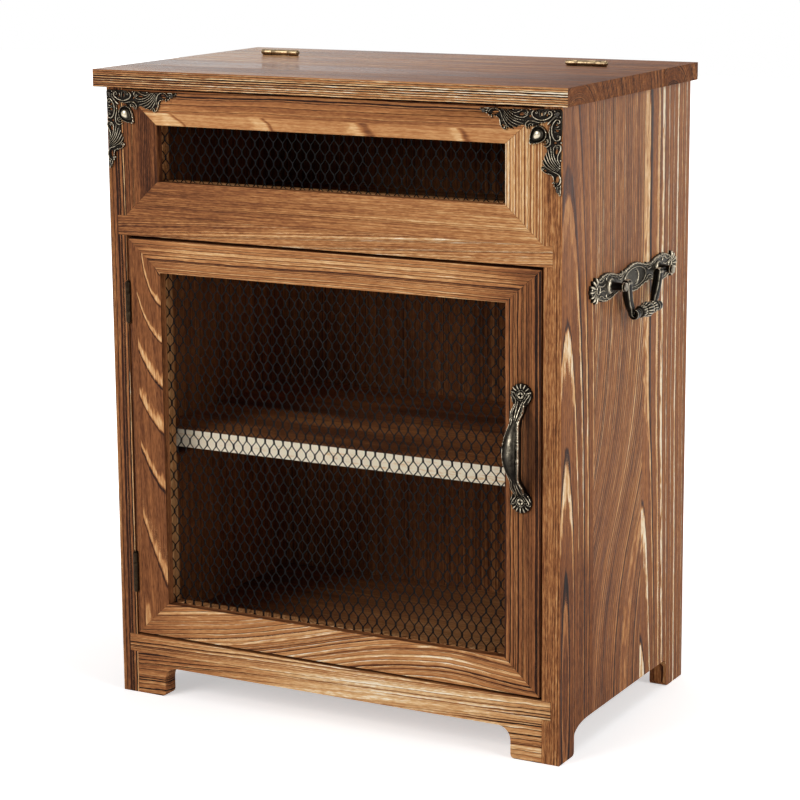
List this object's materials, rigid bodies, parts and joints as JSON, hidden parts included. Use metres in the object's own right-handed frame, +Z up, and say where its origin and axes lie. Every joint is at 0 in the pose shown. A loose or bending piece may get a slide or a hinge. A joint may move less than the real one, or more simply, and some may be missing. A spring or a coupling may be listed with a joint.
{
  "type": "vegetable storage cabinet",
  "caption": "Rustic stained pine vegetable cabinet: lift-up lid over a top bin with a wire-mesh window, mesh door over a shelf and floor bin, cast corner brackets, pull and bail handles.",
  "frame": {"origin": "on the floor, under the middle of the cabinet's box", "axes": "+Z up, the mesh door and window face -Y, +X to the right of a person who faces the door"},
  "size_m": [0.4698, 0.2888, 0.562],
  "materials": {
    "pine": "scorched and brushed pine, clear satin coat",
    "pine_pale": "planed pine, lightly stained",
    "black_wire": "twisted hexagonal wire netting, black coated",
    "antique_bronze": "dark antique casting, rubbed pale on the high edges",
    "antique_brass": "aged brass plate, satin",
    "steel": "plain steel",
    "zinc_steel": "zinc plated steel"
  },
  "bodies": {
    "carcass": {"left_side": "pine", "right_side": "pine", "back_panel": "pine", "floor_board": "pine", "divider_board": "pine", "shelf_board": "pine_pale", "shelf_cleats": "pine", "cleat_screws": "zinc_steel", "front_apron": "pine", "rear_top_board": "pine", "back_nails": "steel", "window_top_rail": "pine", "window_low_rail": "pine", "window_left_stile": "pine", "window_right_stile": "pine", "window_mesh": "black_wire", "window_battens": "pine", "left_bracket": "antique_bronze", "right_bracket": "antique_bronze", "bracket_pins": "antique_bronze", "top_hinge_leaves": "antique_brass", "lid_hinge_pins": "steel", "top_leaf_screws": "antique_brass", "side_hinge_leaves": "antique_brass", "door_hinge_pins": "steel", "side_leaf_screws": "antique_brass", "magnet_catch": "steel", "catch_screws": "zinc_steel", "left_handle_plate": "antique_bronze", "right_handle_plate": "antique_bronze", "left_handle_posts": "antique_bronze", "right_handle_posts": "antique_bronze", "left_handle_nuts": "zinc_steel", "right_handle_nuts": "zinc_steel"},
    "lid": {"lid_board": "pine", "lid_hinge_leaves": "antique_brass", "lid_leaf_screws": "antique_brass"},
    "door": {"door_top_rail": "pine", "door_low_rail": "pine", "door_left_stile": "pine", "door_right_stile": "pine", "door_mesh": "black_wire", "door_battens": "pine", "door_pull": "antique_bronze", "door_pull_screws": "antique_bronze", "door_hinge_leaves": "antique_brass", "door_leaf_screws": "antique_brass", "strike_plate": "zinc_steel", "strike_screws": "zinc_steel"},
    "left_bail": {"left_bail": "antique_bronze"},
    "right_bail": {"right_bail": "antique_bronze"}
  },
  "joints": [
    {"name": "lid_hinge", "type": "hinge", "parent": "carcass", "child": "lid", "pos_m": [0, 0.06305, 0.5597], "axis": [-1, 0, 0], "range_deg": [0, 175]},
    {"name": "door_hinge", "type": "hinge", "parent": "carcass", "child": "door", "pos_m": [-0.198, -0.12335, 0.234], "axis": [0, 0, -1], "range_deg": [0, 170]},
    {"name": "left_bail_swing", "type": "hinge", "parent": "carcass", "child": "left_bail", "pos_m": [-0.2244, 0.01965, 0.3865], "axis": [0, 1, 0], "range_deg": [-6, 170]},
    {"name": "right_bail_swing", "type": "hinge", "parent": "carcass", "child": "right_bail", "pos_m": [0.2244, 0.01965, 0.3865], "axis": [0, -1, 0], "range_deg": [-6, 170]}
  ]
}
